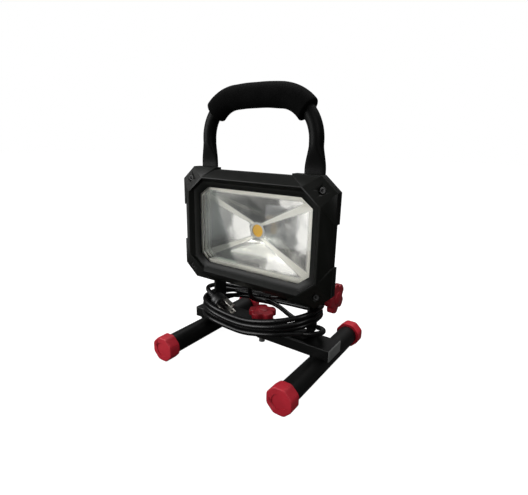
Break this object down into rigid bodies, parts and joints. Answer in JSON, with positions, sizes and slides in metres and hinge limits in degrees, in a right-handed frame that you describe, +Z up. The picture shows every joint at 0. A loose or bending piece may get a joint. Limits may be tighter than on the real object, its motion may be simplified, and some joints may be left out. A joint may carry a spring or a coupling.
{
  "type": "portable work light",
  "caption": "Floodlight head with a carry handle on a tilting, swivelling yoke and a tube floor stand, its mains cord wound round the yoke.",
  "frame": {"origin": "on the floor, below the middle of the stand and the swivel stud", "axes": "+Z up; the lamp faces -Y; +X towards the foot with the right tilt knob, along the crossbar and the tilt axis"},
  "size_m": [0.2138, 0.193, 0.3351],
  "materials": {
    "black_tube": "satin black powder coat",
    "red_plastic": "moulded saturated red, faint sheen",
    "dark_red_plastic": "moulded darker red, faint sheen",
    "grey_plastic": "moulded dark grey",
    "zinc_steel": "zinc plated",
    "brass_insert": "turned",
    "black_plastic": "satin with a fine grain",
    "cast_black": "die cast, grainy black coat",
    "lens": "clear tempered glass",
    "seal_rubber": "matte black silicone",
    "reflector_chrome": "vacuum-metallised mirror",
    "led_yellow": "phosphor-filled silicone",
    "white_plastic": "moulded white",
    "board_white": "white solder mask",
    "board_green": "green solder mask",
    "component_black": "moulded and wrapped parts",
    "aluminium_plate": "rolled",
    "wire_red": "silicone insulation",
    "switch_black": "polished black",
    "foam": "matte closed-cell foam",
    "cord_black": "semi-gloss jacket",
    "nickel": "nickel plated"
  },
  "bodies": {
    "stand": {"foot_tube_left": "black_tube", "foot_tube_right": "black_tube", "foot_cap_front_left": "red_plastic", "foot_cap_front_right": "red_plastic", "foot_cap_rear_left": "red_plastic", "foot_cap_rear_right": "red_plastic", "crossbar": "black_tube", "crossbar_plug_left": "grey_plastic", "crossbar_plug_right": "grey_plastic", "foot_welds": "black_tube", "crush_sleeve": "zinc_steel", "swivel_nut": "zinc_steel", "swivel_pad": "white_plastic"},
    "base_knob": {"base_knob": "dark_red_plastic", "base_stud": "zinc_steel", "base_washer": "zinc_steel"},
    "yoke": {"yoke": "black_tube", "tilt_bolts": "zinc_steel", "friction_discs": "seal_rubber", "cord_coil": "cord_black", "cord_lead": "cord_black", "plug_body": "cord_black", "plug_blades": "nickel", "plug_ground_pin": "nickel"},
    "tilt_knob_left": {"tilt_knob_left": "dark_red_plastic", "knob_insert_left": "brass_insert", "tilt_washer_left": "zinc_steel"},
    "tilt_knob_right": {"tilt_knob_right": "dark_red_plastic", "knob_insert_right": "brass_insert", "tilt_washer_right": "zinc_steel"},
    "head": {"front_bezel": "black_plastic", "rear_housing": "cast_black", "housing_seal": "seal_rubber", "lens_glass": "lens", "lens_gasket": "seal_rubber", "reflector": "reflector_chrome", "led_field": "led_yellow", "led_ring": "white_plastic", "led_board": "board_white", "led_screws": "zinc_steel", "heat_spreader": "aluminium_plate", "spreader_screws": "zinc_steel", "driver_board": "board_green", "driver_screws": "zinc_steel", "driver_parts": "component_black", "led_leads": "wire_red", "bezel_screws": "zinc_steel", "switch_body": "switch_black", "cable_gland": "component_black", "gland_cap": "component_black", "gland_locknut": "component_black", "strain_relief": "cord_black", "cord_inlet": "cord_black", "handle_tube": "black_tube", "foam_grip": "foam", "handle_screws": "zinc_steel", "handle_washers": "zinc_steel"},
    "switch_rocker": {"switch_rocker": "switch_black"}
  },
  "joints": [
    {"name": "yoke_swivel", "type": "hinge", "parent": "stand", "child": "yoke", "pos_m": [0, 0, 0.0427], "axis": [0, 0, 1], "continuous": true},
    {"name": "base_knob_turn", "type": "hinge", "parent": "stand", "child": "base_knob", "pos_m": [0, 0, 0.0472], "axis": [0, 0, 1], "range_deg": [0, 360]},
    {"name": "head_tilt", "type": "hinge", "parent": "yoke", "child": "head", "pos_m": [0, 0, 0.102], "axis": [1, 0, 0], "range_deg": [-80, 25], "deforming": ["cord_lead"]},
    {"name": "tilt_knob_right_turn", "type": "hinge", "parent": "yoke", "child": "tilt_knob_right", "pos_m": [0.0905, 0, 0.102], "axis": [1, 0, 0], "range_deg": [0, 360]},
    {"name": "tilt_knob_left_turn", "type": "hinge", "parent": "yoke", "child": "tilt_knob_left", "pos_m": [-0.0905, 0, 0.102], "axis": [-1, 0, 0], "range_deg": [0, 360]},
    {"name": "switch_rock", "type": "hinge", "parent": "head", "child": "switch_rocker", "pos_m": [0, 0.0152, 0.192], "axis": [1, 0, 0], "range_deg": [0, 16]}
  ]
}
